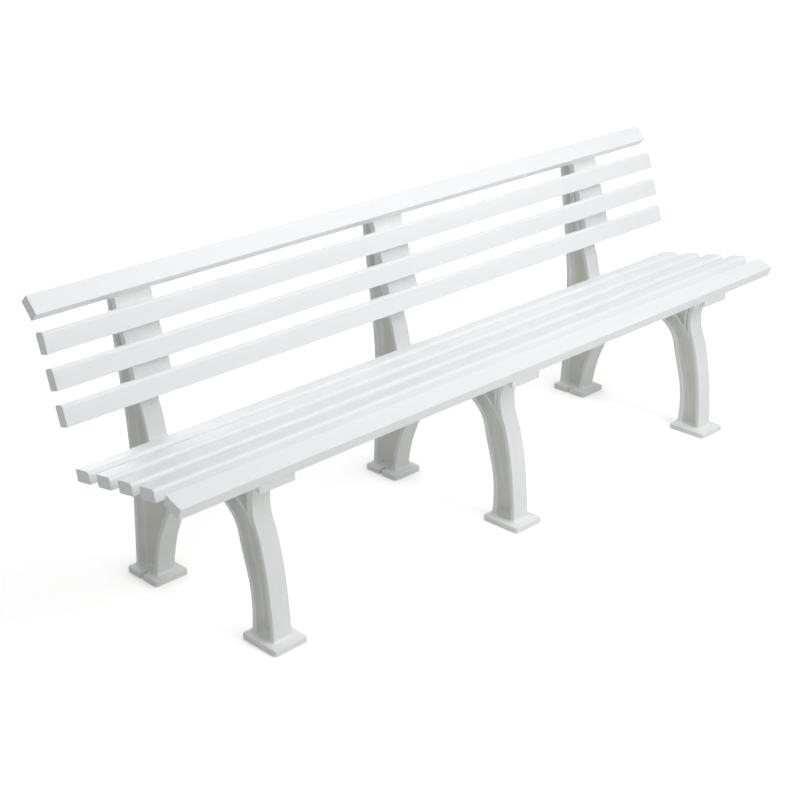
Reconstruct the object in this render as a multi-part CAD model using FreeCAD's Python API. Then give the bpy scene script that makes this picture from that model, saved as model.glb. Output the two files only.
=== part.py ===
import FreeCAD, Part
import math
import os

# A slatted garden bench: nine hollow slats screwed to three equal moulded frames.
# X runs along the bench, Y from front to back and Z up from the floor. While the
# pieces are built, y = 0 is the front of the front feet. At the end everything is
# moved so that the origin lies on the floor, below the middle of the bench.

# Whole bench, millimetres
bench_length = 2000.0
frame_count = 3
frame_spacing = 753.0

# Slats: hollow extrusions with a thick middle web that the screws bite into
slat_width = 47.5
slat_thickness = 28.0
slat_wall = 3.0
slat_web = 8.0
comfort_radius = 8.0
crown_radius = 6.5
edge_radius = 1.2
chamber_radius = 1.0

# Seat: the line that the slats rest on rises forward to a kink, then falls
seat_kink_y = 64.0
seat_kink_z = 406.0
seat_rise = 9.6
seat_pitch = 76.8
seat_slat_count = 4
seat_first_gap = 25.6
nose_fall = 20.5
nose_gap = 0.5

# Back: the line that the slats rest against leans back to a kink, then leans more
back_kink_y = 472.6
back_kink_z = 675.8
back_lean = 17.0
back_pitch = 77.0
back_slat_count = 3
back_first_gap = 20.8
crest_lean = 42.4
crest_gap = 2.9

# Mounting rails of the frames
rail_width = 95.0
rail_thickness = 16.0
rail_corner = 3.0
rail_overhang = 2.0
seat_rail_tail = 24.0

# Frame body: two flanges and a web, all outlines as (y, z)
body_width = 50.0
web_thickness = 8.0
flange_thickness = 12.0
flange_round = 2.5
rim_round = 2.0
web_fillet = 6.0
pocket_corner = 6.0
foot_thickness = 14.0
foot_width = 90.0
foot_length = 110.5
foot_corner = 7.0
foot_edge = 2.5
foot_sink = 2.0
ankle_flare = 7.0
pocket_sill = 1.0
rear_foot_start = 415.5
front_edge = [(31.5, 90.0), (39.5, 165.0), (56.0, 243.0), (73.5, 295.0), (75.0, 325.0), (66.5, 362.0)]
front_edge_foot = 27.5
front_edge_top = 56.0
arch_edge = [(98.0, 106.0), (117.0, 193.0), (147.0, 276.0), (219.0, 311.0), (314.0, 257.0), (401.0, 140.0)]
arch_edge_foot = 102.0
arch_edge_rear_foot = 437.0
rear_edge = [(513.0, 90.0), (504.0, 240.0), (508.0, 390.0), (518.0, 478.0), (538.0, 645.0)]
rear_edge_foot = 519.0
crown_edge = [(540.5, 672.0), (531.0, 697.0)]
waist_edge = [(409.0, 347.0), (420.5, 355.0), (425.0, 368.0), (432.5, 400.0), (443.0, 450.0)]
waist_start_rise = 6.0
waist_top_rise = 22.0

# Lengths too small to matter, and how far a cutting shape runs past what it cuts
same_place = 0.01
least_radius = 0.2
least_bend = 1e-9
straight_angle = 0.01
corner_angle = 5.0
overshoot = 1.0

# Ribs on the web
rib_width = 7.0
rib_drop = 5.0
rib_round = 2.0
stem_path = [(68.0, 243.0), (82.0, 265.0), (96.0, 288.0)]
front_branch_path = [(92.0, 276.0), (96.5, 300.0), (95.5, 325.0), (90.0, 362.0)]
rear_branch_path = [(92.0, 280.0), (107.0, 295.0), (129.0, 314.0), (162.0, 333.0), (205.0, 350.0)]
spine_offset = 50.0
spine_width = 14.0
spine_start_rise = -22.0
spine_length = 190.0

# Anchor slots in the rear feet
slot_width = 10.0
slot_depth = 19.0

# Screws, two for each slat at each frame
screw_offset = 36.0
screw_diameter = 5.0
screw_bite = 18.0
screw_head_diameter = 10.0
screw_head_height = 3.4
screw_head_round = 1.4
screw_recess_width = 1.4
screw_recess_span = 5.6
screw_recess_depth = 1.8
screw_tip_length = 2.0
rail_hole_diameter = 5.6
pilot_clearance = 0.05

# End caps of the slats
cap_plate = 2.6
cap_edge = 0.6
plug_length = 14.0
plug_clearance = 0.06
plug_wall = 2.0


def point(y, z, x=0.0):
    return FreeCAD.Vector(x, y, z)


class Line:
    """A line in the YZ plane that slats rest on, with its outward normal on the slats' side."""

    def __init__(self, start, along, outward):
        self.start = start
        self.along = along
        self.outward = outward

    def at(self, distance, height=0.0):
        return self.start + self.along * distance + self.outward * height


def direction(degrees):
    angle = math.radians(degrees)
    return point(math.cos(angle), math.sin(angle))


# Distances on the lines run from their kink: backwards and forwards on the seat,
# downwards and upwards on the back
seat_kink = point(seat_kink_y, seat_kink_z)
back_kink = point(back_kink_y, back_kink_z)
seat_line = Line(seat_kink, direction(-seat_rise), direction(90.0 - seat_rise))
nose_line = Line(seat_kink, direction(180.0 + nose_fall), direction(90.0 + nose_fall))
back_line = Line(back_kink, direction(-90.0 - back_lean), direction(180.0 - back_lean))
crest_line = Line(back_kink, direction(90.0 - crest_lean), direction(180.0 - crest_lean))


def slat_seats():
    """For each slat its name, its line, the distance of its middle and its two corner radii.

    The radii are those of the corners on the kink's side, at the rail and at the outer face."""
    plain = (edge_radius, edge_radius)
    seat = (edge_radius, comfort_radius)
    back = (crown_radius, comfort_radius)
    seats = [("back_slat_1", crest_line, crest_gap + slat_width / 2, plain)]
    for number in range(back_slat_count):
        middle = back_first_gap + slat_width / 2 + number * back_pitch
        seats.append(("back_slat_%d" % (number + 2), back_line, middle, back))
    for number in range(seat_slat_count):
        middle = seat_first_gap + slat_width / 2 + number * seat_pitch
        seats.append(("seat_slat_%d" % (seat_slat_count - number), seat_line, middle, seat))
    seats.append(("seat_slat_%d" % (seat_slat_count + 1), nose_line, nose_gap + slat_width / 2, plain))
    return seats


def frame_places():
    """X position of each frame's middle."""
    first = -frame_spacing * (frame_count - 1) / 2
    return [first + index * frame_spacing for index in range(frame_count)]


def polygon_wire(points):
    return Part.makePolygon(points + [points[0]])


def rounded_section(line, low, high, bottom, top, radii):
    """Closed outline on a line, from low to high along it and from bottom to top above it.

    The four corner radii start at the low bottom corner and go round by the high bottom corner."""
    corners = [(low, bottom, 1, 0), (high, bottom, 0, 1), (high, top, -1, 0), (low, top, 0, -1)]
    arcs = []
    starts = []
    ends = []
    for corner, radius in zip(corners, radii):
        distance, height, step, rise = corner
        before = line.at(distance - rise * radius, height + step * radius)
        after = line.at(distance + step * radius, height + rise * radius)
        inset = radius * (1.0 - math.sqrt(0.5))
        middle = line.at(distance + (step - rise) * inset, height + (rise + step) * inset)
        arcs.append(Part.Arc(before, middle, after).toShape())
        starts.append(before)
        ends.append(after)
    edges = []
    for index, arc in enumerate(arcs):
        edges.append(arc)
        edges.append(Part.LineSegment(ends[index], starts[(index + 1) % len(arcs)]).toShape())
    return Part.Wire(edges)


def slab(wire, start, end):
    """Solid between two x positions with the given outline."""
    face = Part.Face(wire)
    face.translate(FreeCAD.Vector(start, 0, 0))
    return face.extrude(FreeCAD.Vector(end - start, 0, 0))


def arc_edge(start, along, end):
    """Arc that leaves start in the given direction and ends at end, or a line where it would be straight."""
    chord = end - start
    left = FreeCAD.Vector(0, -chord.z, chord.y)
    turn = math.atan2(along.dot(left), along.dot(chord))
    middle = start + chord * 0.5 + left * (math.tan(turn / 2) / 2)
    if abs(turn) < math.radians(straight_angle):
        return Part.LineSegment(start, end).toShape()
    return Part.Arc(start, middle, end).toShape()


def unit(vector):
    return vector * (1.0 / vector.Length)


def mirrored(vector, axis):
    """A direction turned over to the other side of a unit axis."""
    return axis * (2.0 * vector.dot(axis)) - vector


def smooth_edges(places, first_heading=None):
    """Tangent arcs through the given places, two between each place and the next."""
    steps = [after - before for before, after in zip(places, places[1:])]
    headings = []
    for before, after in zip(steps, steps[1:]):
        early = before * (after.Length / before.Length)
        late = after * (before.Length / after.Length)
        headings.append(unit(early + late))
    headings.insert(0, first_heading or mirrored(headings[0], unit(steps[0])))
    headings.append(mirrored(headings[-1], unit(steps[-1])))
    edges = []
    for index, step in enumerate(steps):
        leaving = headings[index]
        arriving = headings[index + 1]
        bend = 2.0 * (1.0 - leaving.dot(arriving))
        reach = step.dot(leaving + arriving)
        if bend < least_bend:
            arm = step.dot(step) / (2.0 * reach)
        else:
            arm = (math.sqrt(reach ** 2 + bend * step.dot(step)) - reach) / bend
        early = places[index] + leaving * arm
        late = places[index + 1] - arriving * arm
        join = (early + late) * 0.5
        edges.append(arc_edge(places[index], leaving, join))
        edges.append(arc_edge(join, unit(late - early), places[index + 1]))
    return edges


def points(pairs):
    """The given (y, z) pairs as places."""
    return [point(y, z) for y, z in pairs]


def slat_outline(line, middle, corners):
    """Outer outline of a slat."""
    radii = [corners[0], edge_radius, edge_radius, corners[1]]
    half = slat_width / 2
    return rounded_section(line, middle - half, middle + half, 0.0, slat_thickness, radii)


def chamber_outlines(line, middle, corners, inset):
    """Outlines of the two chambers beside the middle web, drawn in by the given inset."""
    bottom = slat_wall + inset
    top = slat_thickness - slat_wall - inset
    low = middle - slat_width / 2 + slat_wall + inset
    high = middle - slat_web / 2 - inset
    plain = max(chamber_radius - inset, least_radius)
    at_rail = max(corners[0] - slat_wall - inset, plain)
    at_face = max(corners[1] - slat_wall - inset, plain)
    near = rounded_section(line, low, high, bottom, top, [at_rail, plain, plain, at_face])
    low = middle + slat_web / 2 + inset
    high = middle + slat_width / 2 - slat_wall - inset
    far = rounded_section(line, low, high, bottom, top, [plain, plain, plain, plain])
    return [near, far]


def screw_places():
    """X positions of all screws of one slat."""
    places = []
    for middle in frame_places():
        places.append(middle - screw_offset)
        places.append(middle + screw_offset)
    return places


def slat(line, middle, corners):
    """Two-chamber extrusion with pilot holes in its middle web."""
    half_length = bench_length / 2 - cap_plate
    body = slab(slat_outline(line, middle, corners), -half_length, half_length)
    for wire in chamber_outlines(line, middle, corners, 0.0):
        body = body.cut(slab(wire, -half_length, half_length))
    pilot_radius = screw_diameter / 2 + pilot_clearance
    holes = []
    for place in screw_places():
        start = line.at(middle, -overshoot) + FreeCAD.Vector(place, 0, 0)
        holes.append(Part.makeCylinder(pilot_radius, screw_bite + 2 * overshoot, start, line.outward))
    return body.cut(Part.makeCompound(holes))


def end_cap(line, middle, corners, side):
    """Flat cap with two hollow plugs that are pushed into the chambers; side is -1 or 1."""
    outer = side * bench_length / 2
    inner = outer - side * cap_plate
    plate = slab(slat_outline(line, middle, corners), inner, outer)
    plate = plate.makeChamfer(cap_edge, flat_edges(plate, outer))
    tip = inner - side * plug_length
    outers = chamber_outlines(line, middle, corners, plug_clearance)
    inners = chamber_outlines(line, middle, corners, plug_clearance + plug_wall)
    for outline, hollow in zip(outers, inners):
        plug = slab(outline, tip, inner).cut(slab(hollow, tip, inner))
        plate = plate.fuse(plug)
    return plate.removeSplitter()


def screw(line, middle, place):
    """Pan-head screw that enters from behind the rail and ends in the slat's web."""
    seat = line.at(middle, -rail_thickness) + FreeCAD.Vector(place, 0, 0)
    radius = screw_diameter / 2
    head_radius = screw_head_diameter / 2
    length = rail_thickness + screw_bite - screw_tip_length
    shank = Part.makeCylinder(radius, length, seat, line.outward)
    tip = Part.makeCone(radius, radius / 4, screw_tip_length, seat + line.outward * length, line.outward)
    head = Part.makeCylinder(head_radius, screw_head_height, seat, -line.outward)
    crown = seat - line.outward * screw_head_height
    rim = [edge for edge in head.Edges if (edge.CenterOfMass - crown).Length < same_place]
    head = head.makeFillet(screw_head_round, rim)
    body = shank.fuse([tip, head]).removeSplitter()
    half_span = screw_recess_span / 2
    half_width = screw_recess_width / 2
    bottom = seat - line.outward * (screw_head_height - screw_recess_depth)
    cross = FreeCAD.Vector(1, 0, 0)
    for long_way, short_way in ((cross, line.along), (line.along, cross)):
        a = bottom + long_way * half_span + short_way * half_width
        b = bottom - long_way * half_span + short_way * half_width
        c = bottom - long_way * half_span - short_way * half_width
        d = bottom + long_way * half_span - short_way * half_width
        slot = Part.Face(Part.makePolygon([a, b, c, d, a])).extrude(-line.outward * screw_recess_depth * 2)
        body = body.cut(slot)
    return body


def seat_rail_front():
    """Distance of the rail's front end on the nose line, flush with the front slat."""
    return nose_gap + slat_width


def seat_rail_end():
    """Distance of the rail's rear end on the seat line."""
    last = seat_first_gap + slat_width + (seat_slat_count - 1) * seat_pitch
    return last + seat_rail_tail


def back_rail_end():
    """Distance of the back rail's lower end on the back line."""
    return back_first_gap + slat_width + (back_slat_count - 1) * back_pitch + rail_overhang


def crest_end():
    """Distance of the back rail's upper end on the crest line."""
    return crest_gap + slat_width - rail_overhang


def kink_depth(first, second, depth):
    """Point below the kink of two lines, where their parallels at the given depth meet."""
    half_turn = first.outward.getAngle(second.outward) / 2
    middle = first.outward + second.outward
    middle.normalize()
    return first.start - middle * (depth / math.cos(half_turn))


def bent_plate(first, first_end, second, second_end, slant, width, corner):
    """Bent plate under two lines that share a kink, centred on x = 0, with rounded ends.

    The second end is cut at a slant, given in degrees from square."""
    extra = rail_thickness * math.tan(math.radians(slant))
    wire = polygon_wire([
        first.at(first_end),
        first.start,
        second.at(second_end),
        second.at(second_end + extra, -rail_thickness),
        kink_depth(first, second, rail_thickness),
        first.at(first_end, -rail_thickness),
    ])
    plate = slab(wire, -width / 2, width / 2)
    ends = []
    for line, distance in ((first, first_end), (second, second_end + extra / 2)):
        for side in (-1, 1):
            middle = line.at(distance, -rail_thickness / 2) + FreeCAD.Vector(side * width / 2, 0, 0)
            for edge in plate.Edges:
                if (edge.CenterOfMass - middle).Length < same_place:
                    ends.append(edge)
    return plate.makeFillet(corner, ends)


def body_outline(foot_level):
    """Side outline of the frame's legs, beam and upright, with its feet at the given height."""
    half = rail_thickness / 2
    nose_mid = seat_line.at((front_edge_top - seat_kink_y) / math.cos(math.radians(seat_rise)), -half)
    tail_mid = seat_line.at(seat_rail_end(), -half)
    low_mid = back_line.at(back_rail_end() - waist_top_rise, -half)
    crest_mid = crest_line.at(crest_end(), -half)
    back_mid = kink_depth(back_line, crest_line, half)
    front = [point(front_edge_foot, foot_level)] + points(front_edge) + [nose_mid]
    arch = [point(arch_edge_foot, foot_level)] + points(arch_edge) + [point(arch_edge_rear_foot, foot_level)]
    rear = [point(rear_edge_foot, foot_level)] + points(rear_edge + crown_edge) + [crest_mid]
    waist = [tail_mid] + points(waist_edge) + [low_mid]
    edges = smooth_edges(front) + smooth_edges(arch) + smooth_edges(rear)
    edges += smooth_edges(waist, direction(waist_start_rise))
    for start, end in ((nose_mid, tail_mid), (low_mid, back_mid), (back_mid, crest_mid),
                       (rear[0], arch[-1]), (arch[0], front[0])):
        edges.append(Part.LineSegment(start, end).toShape())
    return Part.Wire(Part.sortEdges(edges)[0])


def flat_edges(shape, x, curved_only=False):
    """Edges of a shape that lie wholly in the plane at x, or only the curved ones."""
    edges = [edge for edge in shape.Edges
             if abs(edge.BoundBox.XMin - x) < same_place and abs(edge.BoundBox.XMax - x) < same_place]
    if curved_only:
        edges = [edge for edge in edges if edge.Curve.TypeId == "Part::GeomCircle"]
    return edges


def corner_edges(shape):
    """Edges along X where the outline of an extruded shape turns a corner."""
    corners = []
    for edge in shape.Edges:
        if edge.BoundBox.XLength < same_place:
            continue
        middle = edge.valueAt((edge.FirstParameter + edge.LastParameter) / 2)
        normals = []
        for face in shape.ancestorsOfType(edge, Part.Face):
            normals.append(face.normalAt(*face.Surface.parameter(middle)))
        if normals[0].getAngle(normals[1]) > math.radians(corner_angle):
            corners.append(edge)
    return corners


def web_pocket(inner, side):
    """Room between the flanges on one side of the web, with rounded corners and a rounded floor."""
    floor = side * web_thickness / 2
    room = slab(inner, floor, floor + side * body_width)
    room = room.makeFillet(pocket_corner, corner_edges(room))
    return room.makeFillet(web_fillet, flat_edges(room, floor))


def rim_edges(shape, outline):
    """Edges of the pockets' mouths, which lie well inside the outline."""
    rims = []
    for x in (-body_width / 2, body_width / 2):
        for edge in flat_edges(shape, x):
            place = edge.CenterOfMass
            if outline.distToShape(Part.Vertex(0, place.y, place.z))[0] > flange_thickness / 2:
                rims.append(edge)
    return rims


def band(path, width):
    """Outline with round ends of a strip of the given width that follows a smooth path."""
    middle = Part.Wire(smooth_edges(path))
    return middle.makeOffset2D(width / 2)


def web_ribs():
    """Forked rib at the top of the front leg and the spine behind the back rail."""
    half = body_width / 2 - rib_drop
    ribs = []
    for path in (stem_path, front_branch_path, rear_branch_path):
        rib = slab(band(points(path), rib_width), -half, half)
        rims = flat_edges(rib, half, True) + flat_edges(rib, -half, True)
        ribs.append(rib.makeFillet(rib_round, rims))
    low = back_rail_end() - spine_start_rise
    start = back_line.at(low, -spine_offset)
    end = back_line.at(low - spine_length, -spine_offset)
    side = back_line.outward * (spine_width / 2)
    wire = polygon_wire([start + side, end + side, end - side, start - side])
    ribs.append(slab(wire, -body_width / 2 + flange_round, body_width / 2 - flange_round))
    return ribs


def foot_plate(start):
    """Plate under a leg, with rounded corners and softened upper edges."""
    corner = FreeCAD.Vector(-foot_width / 2, start, 0)
    plate = Part.makeBox(foot_width, foot_length, foot_thickness, corner)
    upright = [edge for edge in plate.Edges if edge.BoundBox.ZLength > foot_thickness - same_place]
    plate = plate.makeFillet(foot_corner, upright)
    top = [edge for edge in plate.Edges if edge.BoundBox.ZMin > foot_thickness - same_place]
    return plate.makeFillet(foot_edge, top)


def anchor_slot(side):
    """Open slot from one side of the rear foot plate, with a round inner end."""
    middle = rear_foot_start + foot_length / 2
    inner = foot_width / 2 - slot_depth + slot_width / 2
    reach = foot_width / 2 + overshoot - inner
    height = foot_thickness + ankle_flare + 2 * overshoot
    corner = FreeCAD.Vector(inner, middle - slot_width / 2, -overshoot)
    box = Part.makeBox(reach, slot_width, height, corner)
    end = Part.makeCylinder(slot_width / 2, height, FreeCAD.Vector(inner, middle, -overshoot))
    slot = box.fuse(end)
    if side < 0:
        slot = slot.mirror(FreeCAD.Vector(0, 0, 0), FreeCAD.Vector(1, 0, 0))
    return slot


def ankle_edges(shape):
    """Edges where the legs stand on the foot plates."""
    edges = []
    for edge in shape.Edges:
        box = edge.BoundBox
        level = abs(box.ZMin - foot_thickness) < same_place and abs(box.ZMax - foot_thickness) < same_place
        if level and max(abs(box.XMin), abs(box.XMax)) < body_width / 2 + same_place:
            edges.append(edge)
    return edges


def frame_body():
    """Legs, beam and upright: outer flanges, a thinner web and its ribs."""
    half = body_width / 2
    outline = body_outline(foot_thickness - foot_sink)
    lowered = body_outline(foot_thickness + pocket_sill - flange_thickness)
    inner = Part.Face(lowered).makeOffset2D(-flange_thickness).OuterWire
    body = slab(outline, -half, half)
    body = body.makeFillet(flange_round, flat_edges(body, -half, True) + flat_edges(body, half, True))
    body = body.fuse([foot_plate(0.0), foot_plate(rear_foot_start)])
    body = body.makeFillet(ankle_flare, ankle_edges(body))
    for side in (-1, 1):
        body = body.cut(web_pocket(inner, side))
    body = body.makeFillet(rim_round, rim_edges(body, outline))
    return body.fuse(web_ribs())


def leg_frame():
    """One moulded frame with both legs, the upright and the two mounting rails, centred on x = 0."""
    frame = frame_body()
    seat_ends = (seat_line, seat_rail_end(), nose_line, seat_rail_front())
    back_ends = (back_line, back_rail_end(), crest_line, crest_end())
    seat_rail = bent_plate(*seat_ends, nose_fall, rail_width, rail_corner)
    back_rail = bent_plate(*back_ends, 0.0, rail_width, rail_corner)
    frame = frame.fuse([seat_rail, back_rail])
    holes = []
    for name, line, middle, corners in slat_seats():
        for side in (-1, 1):
            start = line.at(middle, -rail_thickness - overshoot) + FreeCAD.Vector(side * screw_offset, 0, 0)
            length = rail_thickness + 2 * overshoot
            holes.append(Part.makeCylinder(rail_hole_diameter / 2, length, start, line.outward))
    holes += [anchor_slot(-1), anchor_slot(1)]
    return frame.cut(holes).removeSplitter()


def build():
    """Every piece under its node name, with y = 0 at the front of the front feet."""
    nodes = {}
    frame = leg_frame()
    for index, place in enumerate(frame_places()):
        copy = frame.copy()
        copy.translate(FreeCAD.Vector(place, 0, 0))
        nodes["leg_frame_%d" % (index + 1)] = [copy]
    for name, line, middle, corners in slat_seats():
        nodes[name] = [slat(line, middle, corners)]
        nodes[name + "_cap_left"] = [end_cap(line, middle, corners, -1)]
        nodes[name + "_cap_right"] = [end_cap(line, middle, corners, 1)]
        nodes[name + "_screws"] = [screw(line, middle, place) for place in screw_places()]
    return nodes


def main():
    nodes = build()
    box = FreeCAD.BoundBox()
    for solids in nodes.values():
        for solid in solids:
            box.add(solid.optimalBoundingBox(False, False))
    shift = FreeCAD.Vector(0, -(box.YMin + box.YMax) / 2, 0)
    os.makedirs("parts", exist_ok=True)
    for name, solids in nodes.items():
        shape = Part.makeCompound(solids) if len(solids) > 1 else solids[0]
        shape.translate(shift)
        shape.exportStep("parts/%s.step" % name)
    print("size %.1f x %.1f x %.1f mm, nodes %d" % (box.XLength, box.YLength, box.ZLength, len(nodes)))


if __name__ == "__main__":
    main()
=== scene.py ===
import math

import bpy
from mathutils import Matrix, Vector


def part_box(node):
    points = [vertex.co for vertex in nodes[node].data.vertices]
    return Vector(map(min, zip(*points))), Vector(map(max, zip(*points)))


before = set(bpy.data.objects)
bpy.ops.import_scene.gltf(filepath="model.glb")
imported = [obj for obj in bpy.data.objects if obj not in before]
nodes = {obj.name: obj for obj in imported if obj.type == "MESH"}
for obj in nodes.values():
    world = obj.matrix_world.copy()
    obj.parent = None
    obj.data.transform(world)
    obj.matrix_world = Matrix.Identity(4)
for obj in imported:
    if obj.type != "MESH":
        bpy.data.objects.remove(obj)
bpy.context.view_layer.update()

mm = 0.001  # in metres: the scene is in metres, and the looks of the finishes are in mm
print("loaded", len(nodes), "nodes")


def linear(hexColour):
    # sRGB hex to the linear values that shaders work with, with full alpha
    parts = [int(hexColour[i:i + 2], 16) / 255 for i in (1, 3, 5)]
    curved = [p / 12.92 if p <= 0.04045 else ((p + 0.055) / 1.055) ** 2.4 for p in parts]
    return curved + [1.0]


def addNode(tree, kind, links=None, **settings):
    # links maps an input's name or number to an output socket or a plain value. Of Mix,
    # the numbers are 2 and 3 for A and B as floats, and 6 and 7 as colours.
    node = tree.nodes.new(kind)
    for name, value in settings.items():
        setattr(node, name, value)
    for name, value in (links or {}).items():
        if isinstance(value, bpy.types.NodeSocket):
            tree.links.new(value, node.inputs[name])
        else:
            node.inputs[name].default_value = value
    return node


def newMaterial(name):
    material = bpy.data.materials.new(name)
    material.use_nodes = True
    tree = material.node_tree
    tree.nodes.clear()
    return material, tree


# Rigid PVC, extruded: a cool bright white, satin, with faint lines along the slat where
# the die drew it. Real die lines are under 1 mm apart, too fine to show from here, so
# they are drawn 7 mm apart.
slatLook = {
    "light": "#FAFCFD", "dark": "#F2F5F6", "ior": 1.53, "smooth": 0.36, "rough": 0.46,
    "lineSpacing": 7.0, "lineLength": 900.0, "lineDetail": 2.0,
    "lineHeight": 0.08, "lineStrength": 0.6, "cloudSize": 260.0, "cloudDetail": 3.0,
}


def slatMaterial(look):
    material, tree = newMaterial("extrudedPvc")
    place = addNode(tree, "ShaderNodeTexCoord").outputs["Object"]
    cloud = addNode(tree, "ShaderNodeTexNoise", {
        "Vector": place, "Scale": 1 / (look["cloudSize"] * mm), "Detail": look["cloudDetail"]})
    along, across = 1 / (look["lineLength"] * mm), 1 / (look["lineSpacing"] * mm)
    stretched = addNode(tree, "ShaderNodeMapping", {
        "Vector": place, "Scale": (along, across, across)})
    lines = addNode(tree, "ShaderNodeTexNoise", {
        "Vector": stretched.outputs[0], "Scale": 1.0, "Detail": look["lineDetail"]})
    both = addNode(tree, "ShaderNodeMath", {
        0: cloud.outputs["Fac"], 1: lines.outputs["Fac"]}, operation="MULTIPLY")
    colour = addNode(tree, "ShaderNodeMix", {
        "Factor": both.outputs[0], 6: linear(look["light"]), 7: linear(look["dark"])},
        data_type="RGBA")
    roughness = addNode(tree, "ShaderNodeMapRange", {
        "Value": lines.outputs["Fac"], "To Min": look["smooth"], "To Max": look["rough"]})
    bump = addNode(tree, "ShaderNodeBump", {
        "Height": lines.outputs["Fac"], "Distance": look["lineHeight"] * mm,
        "Strength": look["lineStrength"]})
    shader = addNode(tree, "ShaderNodeBsdfPrincipled", {
        "Base Color": colour.outputs[2], "Roughness": roughness.outputs[0],
        "Normal": bump.outputs[0], "IOR": look["ior"]})
    addNode(tree, "ShaderNodeOutputMaterial", {"Surface": shader.outputs[0]})
    return material


# Polyethylene, injection moulded: the caps are a little duller and greener than the
# slats, with the fine even grain of an eroded mould, drawn at 3 mm so that it shows.
capLook = {
    "light": "#F7FCFB", "dark": "#EFF6F4", "ior": 1.51, "smooth": 0.48, "rough": 0.60,
    "grainSize": 3.0, "grainDetail": 2.0, "grainHeight": 0.04, "grainStrength": 0.5,
}


def capMaterial(look):
    material, tree = newMaterial("mouldedPolyethylene")
    place = addNode(tree, "ShaderNodeTexCoord").outputs["Object"]
    grain = addNode(tree, "ShaderNodeTexNoise", {
        "Vector": place, "Scale": 1 / (look["grainSize"] * mm), "Detail": look["grainDetail"]})
    colour = addNode(tree, "ShaderNodeMix", {
        "Factor": grain.outputs["Fac"], 6: linear(look["light"]), 7: linear(look["dark"])},
        data_type="RGBA")
    roughness = addNode(tree, "ShaderNodeMapRange", {
        "Value": grain.outputs["Fac"], "To Min": look["smooth"], "To Max": look["rough"]})
    bump = addNode(tree, "ShaderNodeBump", {
        "Height": grain.outputs["Fac"], "Distance": look["grainHeight"] * mm,
        "Strength": look["grainStrength"]})
    shader = addNode(tree, "ShaderNodeBsdfPrincipled", {
        "Base Color": colour.outputs[2], "Roughness": roughness.outputs[0],
        "Normal": bump.outputs[0], "IOR": look["ior"]})
    addNode(tree, "ShaderNodeOutputMaterial", {"Surface": shader.outputs[0]})
    return material


# Polypropylene, injection moulded: a near white with a satin skin, cloudy where the melt
# flowed. The mould was polished for the flanges and not for the web in the pockets, which is
# duller; the web's darker, warmer colour is painted shade for the recess. A shallow sink runs
# along the flanges over the web. The skin's own grain is finer than this, and is drawn at 4 mm
# so that it shows.
frameLook = {
    "light": "#F9FAF9", "dark": "#F2F4F3", "ior": 1.49, "smooth": 0.40, "rough": 0.54,
    "flowSize": (120.0, 120.0, 300.0), "flowDetail": 4.0,
    "grainSize": 4.0, "grainDetail": 2.0, "grainHeight": 0.05, "grainStrength": 0.5,
    # the web colour is painted shade: darker and warmer, standing in for the shade in the
    # pockets
    "web": "#ECEDE4", "webRough": 0.62, "webReach": 12.0, "webFacing": (0.7, 0.95),
    "sinkReach": 9.0, "sinkDepth": 0.2,
}
frameSpacing = float(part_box("leg_frame_3")[0][0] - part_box("leg_frame_2")[0][0])


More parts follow.
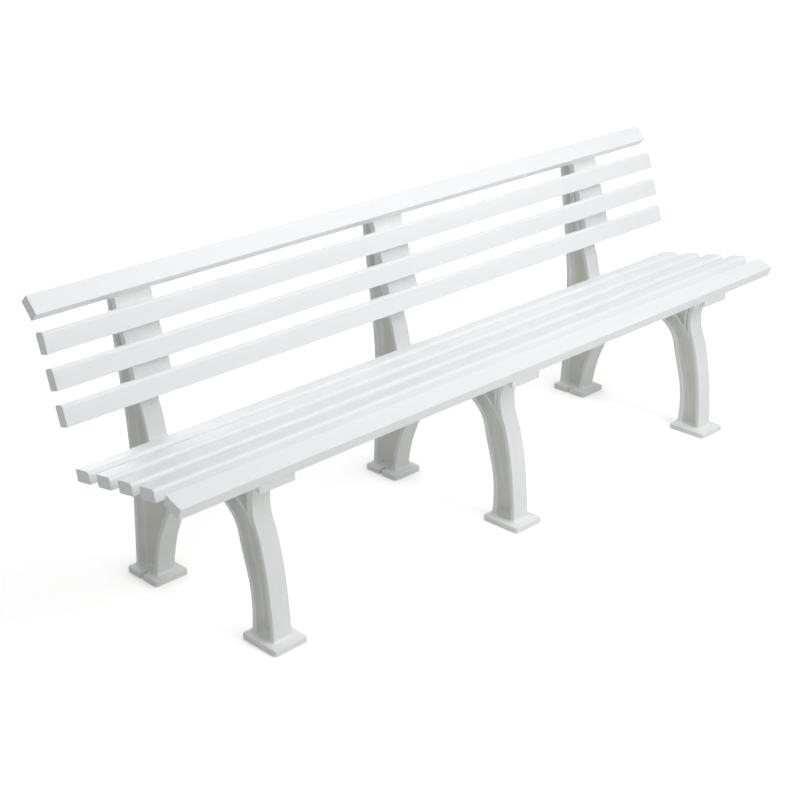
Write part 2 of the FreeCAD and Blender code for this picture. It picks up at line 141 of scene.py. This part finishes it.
def frameMaterial(look):
    material, tree = newMaterial("mouldedPolypropylene")
    surface = addNode(tree, "ShaderNodeTexCoord")
    place = surface.outputs["Object"]
    # distance along X to the middle plane of the nearest frame
    along = addNode(tree, "ShaderNodeSeparateXYZ", {"Vector": place})
    aside = addNode(tree, "ShaderNodeMath", {
        0: along.outputs["X"], 1: frameSpacing / 2}, operation="ADD")
    folded = addNode(tree, "ShaderNodeMath", {
        0: aside.outputs[0], 1: frameSpacing}, operation="FLOORED_MODULO")
    centred = addNode(tree, "ShaderNodeMath", {
        0: folded.outputs[0], 1: frameSpacing / 2}, operation="SUBTRACT")
    away = addNode(tree, "ShaderNodeMath", {0: centred.outputs[0]}, operation="ABSOLUTE")
    flowPlace = addNode(tree, "ShaderNodeMapping", {
        "Vector": place, "Scale": tuple(1 / (size * mm) for size in look["flowSize"])})
    flow = addNode(tree, "ShaderNodeTexNoise", {
        "Vector": flowPlace.outputs[0], "Scale": 1.0, "Detail": look["flowDetail"]})
    grain = addNode(tree, "ShaderNodeTexNoise", {
        "Vector": place, "Scale": 1 / (look["grainSize"] * mm), "Detail": look["grainDetail"]})
    skin = addNode(tree, "ShaderNodeMix", {
        "Factor": flow.outputs["Fac"], 6: linear(look["light"]), 7: linear(look["dark"])},
        data_type="RGBA")
    # the web is what faces sideways close to that plane
    turned = addNode(tree, "ShaderNodeSeparateXYZ", {"Vector": surface.outputs["Normal"]})
    sideways = addNode(tree, "ShaderNodeMath", {0: turned.outputs["X"]}, operation="ABSOLUTE")
    facing = addNode(tree, "ShaderNodeMapRange", {
        "Value": sideways.outputs[0],
        "From Min": look["webFacing"][0], "From Max": look["webFacing"][1]})
    close = addNode(tree, "ShaderNodeMath", {
        0: away.outputs[0], 1: look["webReach"] * mm}, operation="LESS_THAN")
    onWeb = addNode(tree, "ShaderNodeMath", {
        0: facing.outputs[0], 1: close.outputs[0]}, operation="MULTIPLY")
    # painted shade: the web takes the darker, warmer colour for the shade in the pockets, and is
    # duller
    colour = addNode(tree, "ShaderNodeMix", {
        "Factor": onWeb.outputs[0], 6: skin.outputs[2], 7: linear(look["web"])},
        data_type="RGBA")
    polished = addNode(tree, "ShaderNodeMapRange", {
        "Value": flow.outputs["Fac"], "To Min": look["smooth"], "To Max": look["rough"]})
    roughness = addNode(tree, "ShaderNodeMix", {
        "Factor": onWeb.outputs[0], 2: polished.outputs[0], 3: look["webRough"]})
    sink = addNode(tree, "ShaderNodeMapRange", {
        "Value": away.outputs[0], "From Max": look["sinkReach"] * mm},
        interpolation_type="SMOOTHSTEP")
    sunk = addNode(tree, "ShaderNodeBump", {
        "Height": sink.outputs[0], "Distance": look["sinkDepth"] * mm})
    bump = addNode(tree, "ShaderNodeBump", {
        "Height": grain.outputs["Fac"], "Distance": look["grainHeight"] * mm,
        "Strength": look["grainStrength"], "Normal": sunk.outputs[0]})
    shader = addNode(tree, "ShaderNodeBsdfPrincipled", {
        "Base Color": colour.outputs[2], "Roughness": roughness.outputs[0],
        "Normal": bump.outputs[0], "IOR": look["ior"]})
    addNode(tree, "ShaderNodeOutputMaterial", {"Surface": shader.outputs[0]})
    return material


# Stainless steel, cold headed: bright pan heads, with faint marks from the heading die
# 0.4 mm apart.
screwLook = {
    "light": "#D2D3D4", "dark": "#BFC1C3", "metallic": 1.0, "smooth": 0.24, "rough": 0.36,
    "markSize": 0.4, "markDetail": 1.0, "markHeight": 0.01, "markStrength": 0.5,
}


def screwMaterial(look):
    material, tree = newMaterial("coldHeadedStainlessSteel")
    place = addNode(tree, "ShaderNodeTexCoord").outputs["Object"]
    marks = addNode(tree, "ShaderNodeTexNoise", {
        "Vector": place, "Scale": 1 / (look["markSize"] * mm), "Detail": look["markDetail"]})
    colour = addNode(tree, "ShaderNodeMix", {
        "Factor": marks.outputs["Fac"], 6: linear(look["light"]), 7: linear(look["dark"])},
        data_type="RGBA")
    roughness = addNode(tree, "ShaderNodeMapRange", {
        "Value": marks.outputs["Fac"], "To Min": look["smooth"], "To Max": look["rough"]})
    bump = addNode(tree, "ShaderNodeBump", {
        "Height": marks.outputs["Fac"], "Distance": look["markHeight"] * mm,
        "Strength": look["markStrength"]})
    shader = addNode(tree, "ShaderNodeBsdfPrincipled", {
        "Base Color": colour.outputs[2], "Roughness": roughness.outputs[0],
        "Normal": bump.outputs[0], "Metallic": look["metallic"]})
    addNode(tree, "ShaderNodeOutputMaterial", {"Surface": shader.outputs[0]})
    return material


finishes = {
    "slat": slatMaterial(slatLook),
    "cap": capMaterial(capLook),
    "frame": frameMaterial(frameLook),
    "screw": screwMaterial(screwLook),
}


def finishOf(name):
    if name.startswith("leg_frame"):
        return "frame"
    if name.endswith("_screws"):
        return "screw"
    return "cap" if "_cap_" in name else "slat"


for name, piece in nodes.items():
    piece.data.materials.clear()
    piece.data.materials.append(finishes[finishOf(name)])
print("finished", len(nodes), "nodes in", len(finishes), "materials")


whiteLook = {"colour": "#FFFFFF", "strength": 1.0}  # a strength of 1 renders as white


def seenRays(tree):
    # 1 where a surface is seen straight, in gloss or through glass, and 0 where it lights
    rays = addNode(tree, "ShaderNodeLightPath")
    straightOrGloss = addNode(tree, "ShaderNodeMath", {
        0: rays.outputs["Is Camera Ray"], 1: rays.outputs["Is Glossy Ray"]}, operation="MAXIMUM")
    seen = addNode(tree, "ShaderNodeMath", {
        0: straightOrGloss.outputs[0], 1: rays.outputs["Is Transmission Ray"]},
        operation="MAXIMUM")
    return seen.outputs[0]


# Studio paper, matt and a touch warm. Where it is seen it also glows: away from the bench it
# comes out white, and near the bench ambient occlusion cuts the glow, a painted contact
# shadow where the bench is close. The floor's size and its reaches are in metres, and
# shadeReach is in mm.
floorLook = {
    "colour": "#EAEAE8", "size": 60.0, "nearGlow": 0.60, "nearReach": 1.3, "farReach": 2.8,
    "shadeReach": 90.0,
}


def studioFloor(look):
    half = look["size"] / 2
    corners = [(-half, -half, 0), (half, -half, 0), (half, half, 0), (-half, half, 0)]
    mesh = bpy.data.meshes.new("studioFloor")
    mesh.from_pydata(corners, [], [(0, 1, 2, 3)])
    floor = bpy.data.objects.new("studioFloor", mesh)
    bpy.context.scene.collection.objects.link(floor)
    material, tree = newMaterial("studioPaper")
    place = addNode(tree, "ShaderNodeTexCoord").outputs["Object"]
    away = addNode(tree, "ShaderNodeVectorMath", {0: place}, operation="LENGTH")
    glow = addNode(tree, "ShaderNodeMapRange", {
        "Value": away.outputs["Value"],
        "From Min": look["nearReach"], "From Max": look["farReach"],
        "To Min": look["nearGlow"], "To Max": whiteLook["strength"]})
    # painted shadow: ambient occlusion darkens the glow where the bench is near
    clear = addNode(tree, "ShaderNodeAmbientOcclusion", {"Distance": look["shadeReach"] * mm})
    glowWithPaintedShadow = addNode(tree, "ShaderNodeMath", {
        0: clear.outputs["AO"], 1: glow.outputs[0]}, operation="MULTIPLY")
    strength = addNode(tree, "ShaderNodeMath", {
        0: seenRays(tree), 1: glowWithPaintedShadow.outputs[0]}, operation="MULTIPLY")
    paper = addNode(tree, "ShaderNodeBsdfDiffuse", {"Color": linear(look["colour"])})
    white = addNode(tree, "ShaderNodeEmission", {
        "Color": linear(whiteLook["colour"]), "Strength": strength.outputs[0]})
    both = addNode(tree, "ShaderNodeAddShader", {0: paper.outputs[0], 1: white.outputs[0]})
    addNode(tree, "ShaderNodeOutputMaterial", {"Surface": both.outputs[0]})
    mesh.materials.append(material)


# Soft light from all round, and white where it is seen.
worldLook = {"colour": "#FBFCFD", "strength": 0.23}


def studioWorld(look):
    world = bpy.data.worlds.new("studioWorld")
    world.use_nodes = True
    tree = world.node_tree
    tree.nodes.clear()
    soft, white = (addNode(tree, "ShaderNodeBackground", {
        "Color": linear(light["colour"]), "Strength": light["strength"]})
        for light in (look, whiteLook))
    mixed = addNode(tree, "ShaderNodeMixShader", {
        0: seenRays(tree), 1: soft.outputs[0], 2: white.outputs[0]})
    addNode(tree, "ShaderNodeOutputWorld", {"Surface": mixed.outputs[0]})
    bpy.context.scene.world = world


# Round soft boxes: places and sizes in metres, powers in watts.
lampLooks = {
    "topLamp": {"place": (0.8, -0.7, 3.0), "size": 2.2, "power": 28},
    "frontLamp": {"place": (0.4, -2.9, 2.5), "size": 2.0, "power": 45},
    "leftLamp": {"place": (-2.6, -0.9, 3.0), "size": 1.4, "power": 13},
    "backLamp": {"place": (0.6, 4.0, 1.7), "size": 2.4, "power": 34},
}
lampAim = (0, 0, 0.4)  # the middle of the bench, a little under the seat


def softLamp(name, look):
    lamp = bpy.data.lights.new(name, "AREA")
    lamp.shape = "DISK"
    lamp.size = look["size"]
    lamp.energy = look["power"]
    holder = bpy.data.objects.new(name, lamp)
    bpy.context.scene.collection.objects.link(holder)
    holder.location = look["place"]
    ray = Vector(lampAim) - Vector(look["place"])
    holder.rotation_euler = ray.to_track_quat("-Z", "Y").to_euler()


studioFloor(floorLook)
studioWorld(worldLook)
for name, look in lampLooks.items():
    softLamp(name, look)
print("lit with", len(lampLooks), "lamps")


# The camera stands where the bench's edges in the photograph put it: its place in metres,
# its turn in degrees, its lens and sensor in mm.
cameraLook = {
    "place": (-2.506787, -2.417335, 1.741143), "turn": (66.9107, 0.8886, -44.4742),
    "lens": 69.318, "sensor": 36.0,
}


def photoCamera(look):
    camera = bpy.data.objects.new("photoCamera", bpy.data.cameras.new("photoCamera"))
    camera.data.lens = look["lens"]
    camera.data.sensor_width = look["sensor"]
    camera.location = look["place"]
    camera.rotation_euler = [math.radians(a) for a in look["turn"]]
    bpy.context.scene.collection.objects.link(camera)
    bpy.context.scene.camera = camera


photoCamera(cameraLook)
bpy.context.scene.view_settings.view_transform = "Standard"
